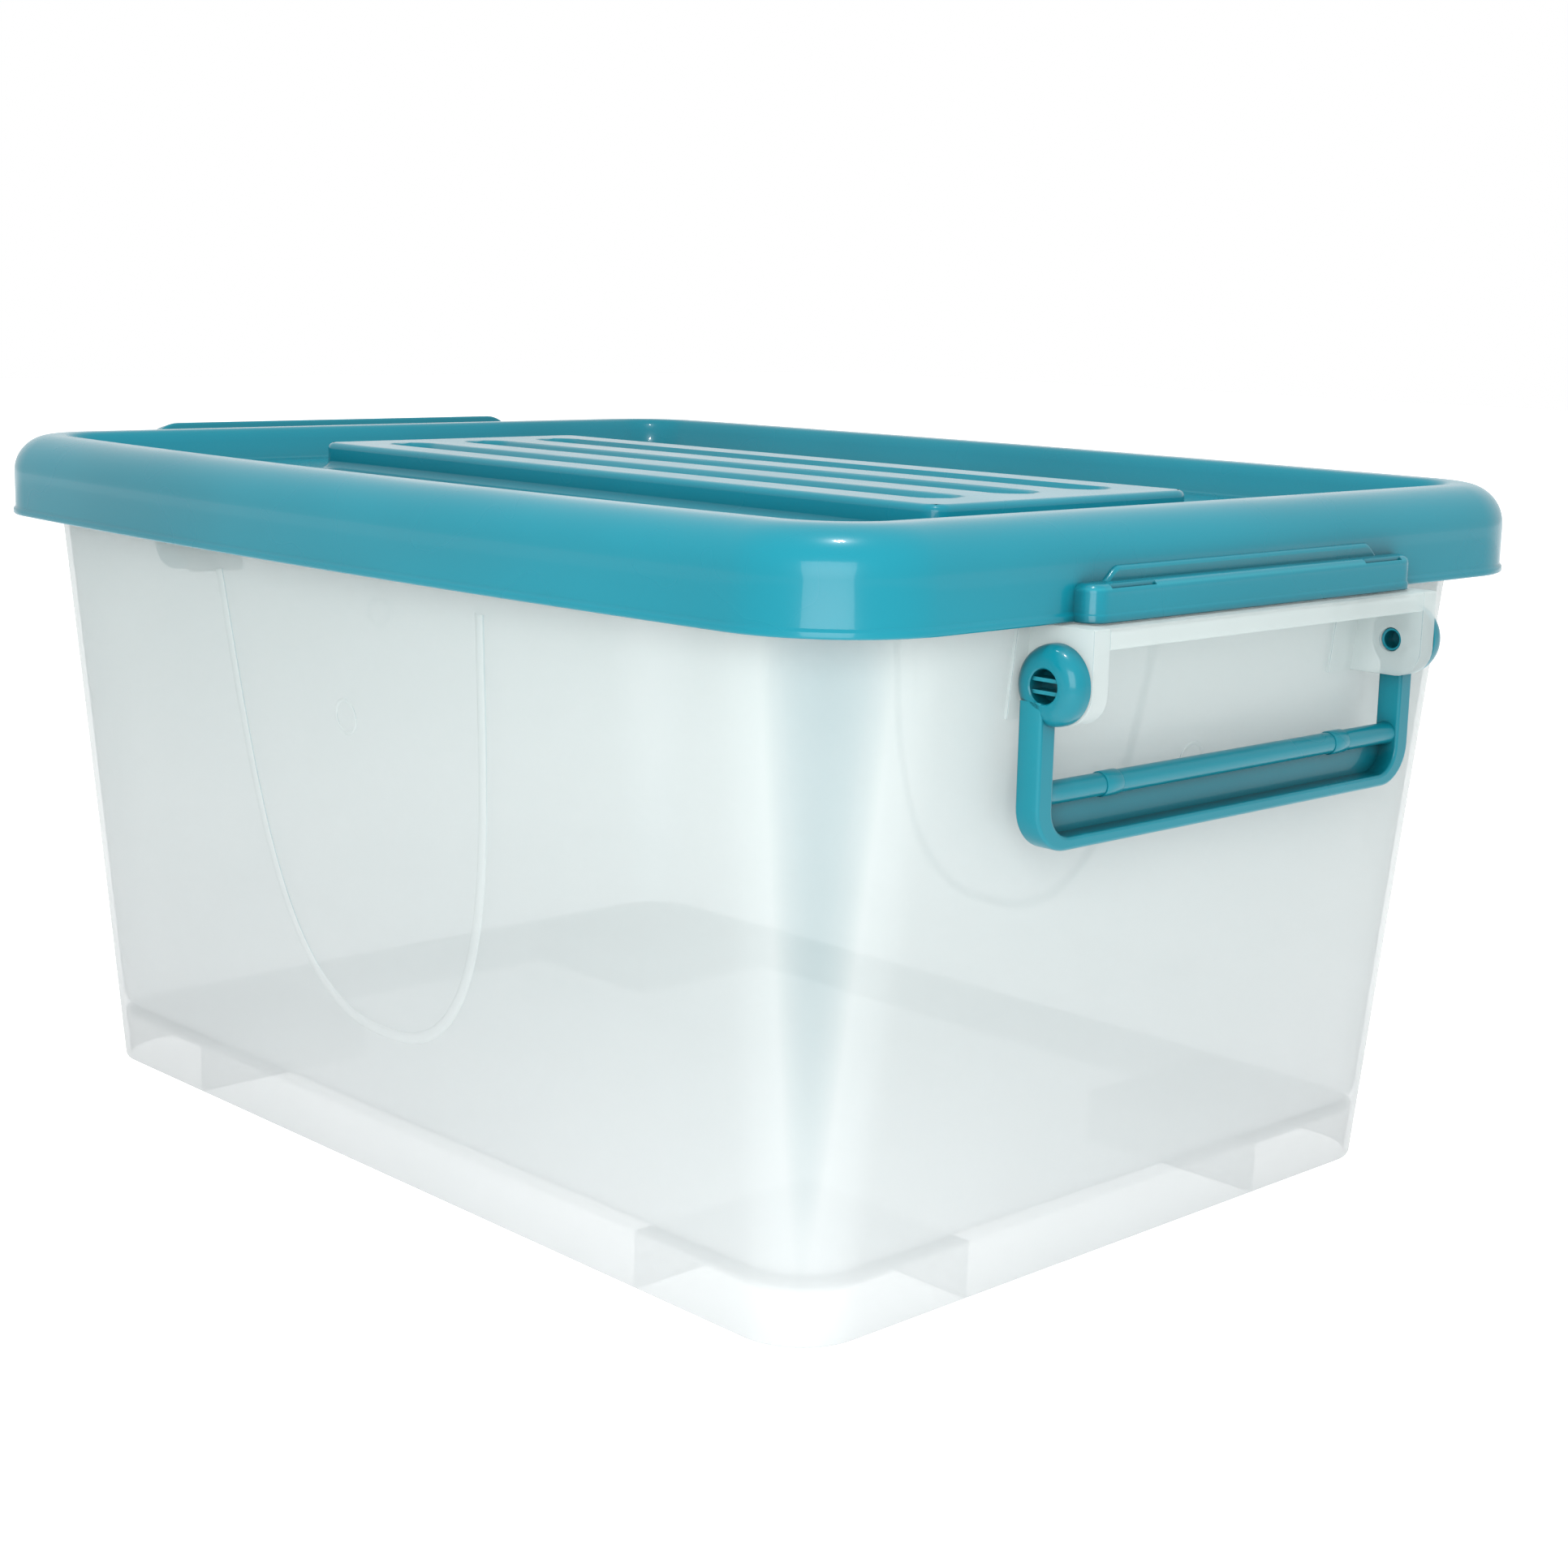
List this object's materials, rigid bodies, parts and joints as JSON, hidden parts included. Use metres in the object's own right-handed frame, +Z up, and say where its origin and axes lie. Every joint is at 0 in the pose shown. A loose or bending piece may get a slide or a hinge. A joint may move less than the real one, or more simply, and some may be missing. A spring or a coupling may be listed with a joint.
{
  "type": "storage box",
  "caption": "Tapered clear plastic storage box with a raised-rim lid and swinging end handles that latch the lid down.",
  "frame": {"origin": "on the ground under the middle of the tub's foot", "axes": "+Z up, +X along the box towards the front handle, +Y across the box"},
  "size_m": [0.6419, 0.464, 0.3113],
  "materials": {
    "clear_plastic": "milky see-through polypropylene",
    "lid_plastic": "glossy moulded",
    "handle_plastic": "satin moulded"
  },
  "bodies": {
    "tub": {"tub": "clear_plastic"},
    "lid": {"lid": "lid_plastic"},
    "front_handle": {"front_handle": "handle_plastic"},
    "rear_handle": {"rear_handle": "handle_plastic"}
  },
  "joints": [
    {"name": "lid_lift", "type": "slide", "parent": "tub", "child": "lid", "axis": [0, 0, 1], "range_m": [0, 0.32]},
    {"name": "front_handle_swing", "type": "hinge", "parent": "tub", "child": "front_handle", "pos_m": [0.3017, 0, 0.2508], "axis": [0, -1, 0], "range_deg": [-8, 180]},
    {"name": "rear_handle_swing", "type": "hinge", "parent": "tub", "child": "rear_handle", "pos_m": [-0.3017, 0, 0.2508], "axis": [0, 1, 0], "range_deg": [-176.1, 11.8]}
  ]
}
